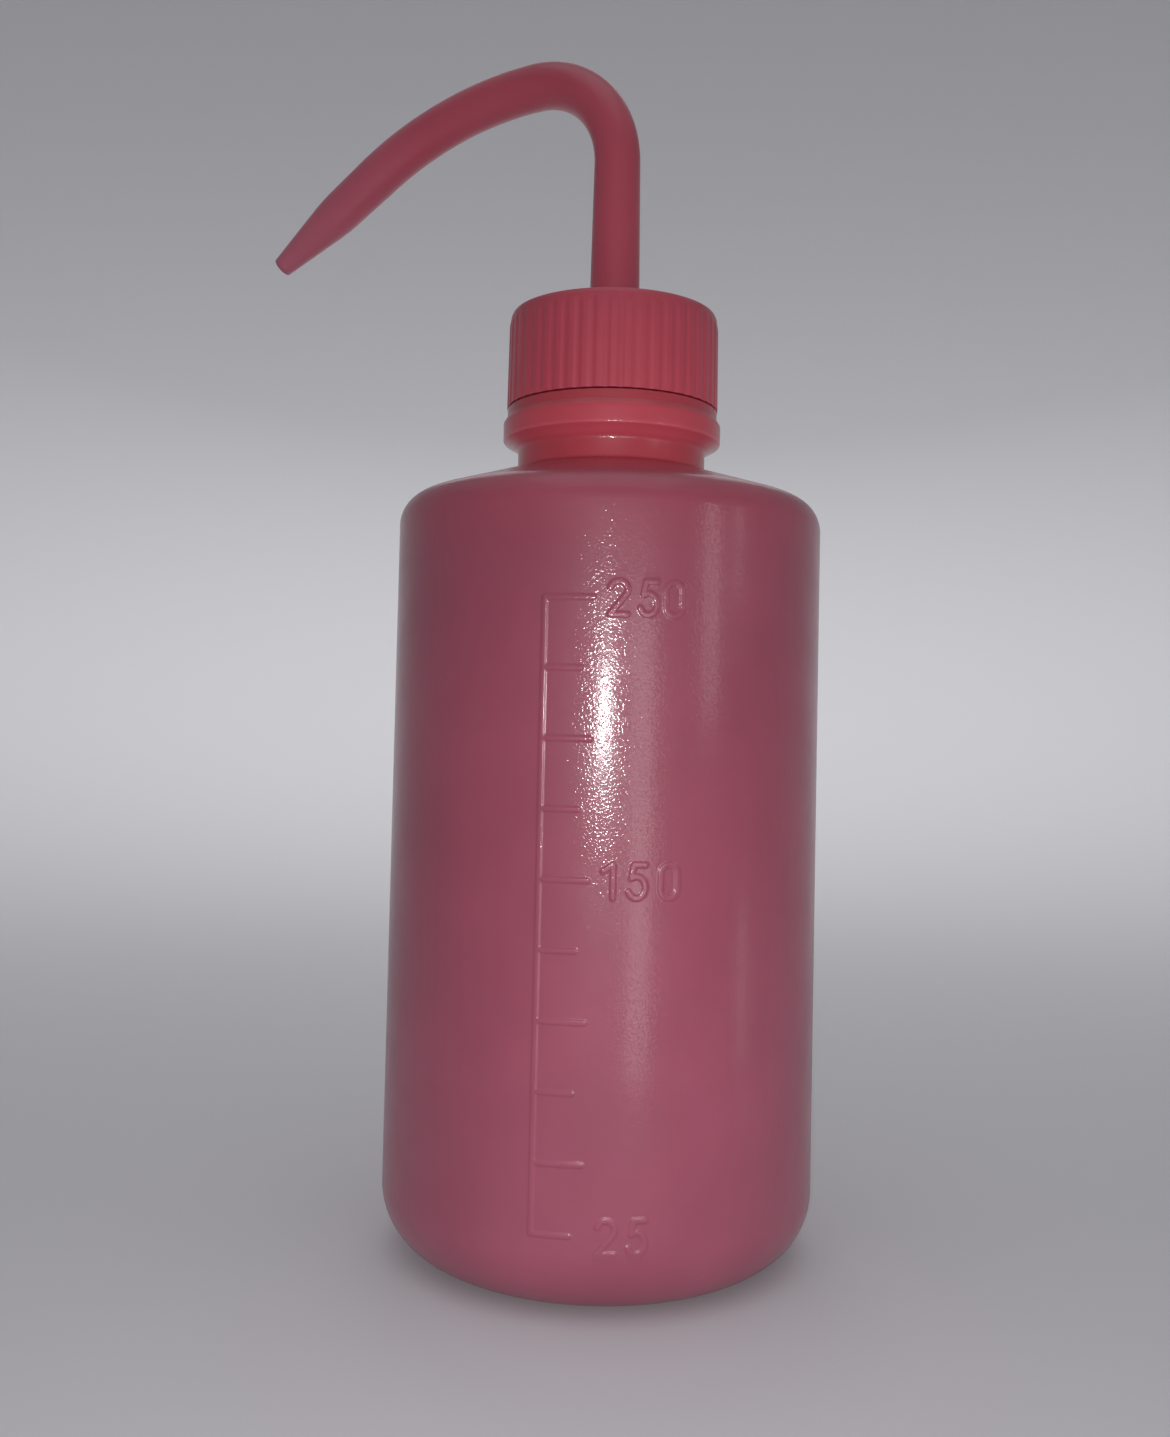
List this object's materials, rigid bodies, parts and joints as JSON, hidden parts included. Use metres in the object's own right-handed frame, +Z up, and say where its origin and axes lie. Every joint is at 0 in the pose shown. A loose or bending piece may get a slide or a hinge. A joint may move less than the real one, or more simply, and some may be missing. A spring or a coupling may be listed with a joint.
{
  "type": "wash bottle",
  "caption": "Small squeeze wash bottle: cylindrical body with raised volume scale, sloping shoulder, ribbed screw cap and bent delivery spout with a drawn tip.",
  "frame": {"origin": "on the bottle's axis, in the plane that its standing ring rests on", "axes": "+Z up along the bottle's axis; the raised volume scale faces -Y; the delivery spout points towards -X and a little towards +Y"},
  "size_m": [0.0883, 0.0626, 0.1752],
  "materials": {
    "bottle_plastic": "translucent low-density polyethylene, satin, fine orange-peel grain",
    "cap_plastic": "satin low-density polyethylene with moulded ribs",
    "seal_plastic": "natural low-density polyethylene, waxy satin",
    "spout_plastic": "translucent low-density polyethylene, smooth satin",
    "dip_tube_plastic": "natural low-density polyethylene tube, waxy satin"
  },
  "bodies": {
    "bottle": {"bottle_body": "bottle_plastic"},
    "seal": {"seal_plug": "seal_plastic"},
    "cap": {"screw_cap": "cap_plastic"},
    "spout": {"delivery_spout": "spout_plastic", "dip_tube": "dip_tube_plastic"}
  },
  "joints": [
    {"name": "cap_rise", "type": "slide", "parent": "bottle", "child": "seal", "axis": [0, 0, 1], "range_m": [0, 0.00525]},
    {"name": "cap_turn", "type": "hinge", "parent": "seal", "child": "cap", "pos_m": [0, 0, 0.128], "axis": [0, 0, 1], "range_deg": [0, 450]},
    {"name": "spout_swivel", "type": "hinge", "parent": "seal", "child": "spout", "pos_m": [0, 0, 0.13], "axis": [0, 0, 1], "continuous": true}
  ],
  "couplings": [
    {"joint": "cap_rise", "follows": "cap_turn", "m_per_rad": 0.00066845}
  ]
}
